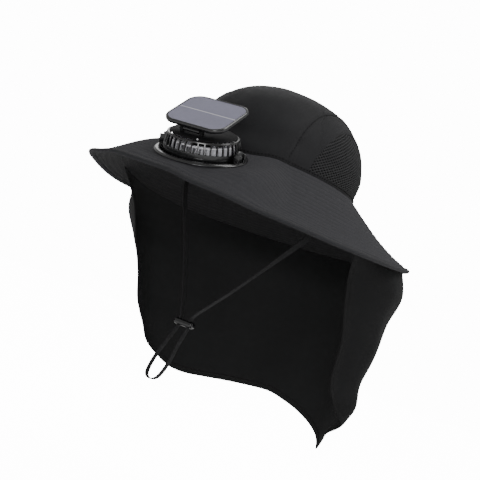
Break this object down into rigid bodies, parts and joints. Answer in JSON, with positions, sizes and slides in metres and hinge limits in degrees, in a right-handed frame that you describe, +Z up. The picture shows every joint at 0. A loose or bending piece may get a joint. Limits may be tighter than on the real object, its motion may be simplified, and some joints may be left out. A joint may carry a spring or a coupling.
{
  "type": "sun hat with solar fan",
  "caption": "Dark grey wide brimmed sun hat with net crown panels, a neck flap, a chin strap with a slider, and a solar powered fan on the front of the brim.",
  "frame": {"origin": "middle of the head opening at the foot of the crown, where the hat sits on a head", "axes": "+Z up along the crown, -Y to the front where the fan is, +X to the wearer's left"},
  "size_m": [0.3284, 0.3984, 0.3348],
  "materials": {
    "brim_cloth": "matt, stitched in rows",
    "crown_cloth": "smooth, slight sheen",
    "net_cloth": "matt",
    "flap_cloth": "matt",
    "strap_tape": "matt",
    "black_plastic": "glossy",
    "rotor_plastic": "satin",
    "solar_cell": "glossy"
  },
  "bodies": {
    "hat": {"crown": "crown_cloth", "net_left": "net_cloth", "net_right": "net_cloth", "brim": "brim_cloth", "brim_binding": "brim_cloth", "neck_flap": "flap_cloth", "chin_strap": "strap_tape", "strap_slider": "black_plastic", "fan_base": "black_plastic", "fan_clamp_ring": "black_plastic"},
    "fan_head": {"fan_housing": "black_plastic", "fan_cap": "black_plastic"},
    "rotor": {"fan_rotor": "rotor_plastic"},
    "solar_panel": {"solar_frame": "black_plastic", "solar_cell": "solar_cell"}
  },
  "joints": [
    {"name": "fan_tilt", "type": "hinge", "parent": "hat", "child": "fan_head", "pos_m": [0, -0.14525, -0.01841], "axis": [1, 0, 0], "range_deg": [-15, 15]},
    {"name": "rotor_spin", "type": "hinge", "parent": "fan_head", "child": "rotor", "pos_m": [0, -0.14525, -0.01841], "axis": [0, -0.4226, 0.9063], "continuous": true},
    {"name": "panel_tilt", "type": "hinge", "parent": "fan_head", "child": "solar_panel", "pos_m": [0, -0.17231, -0.01006], "axis": [1, 0, 0], "range_deg": [-14, 34]}
  ]
}
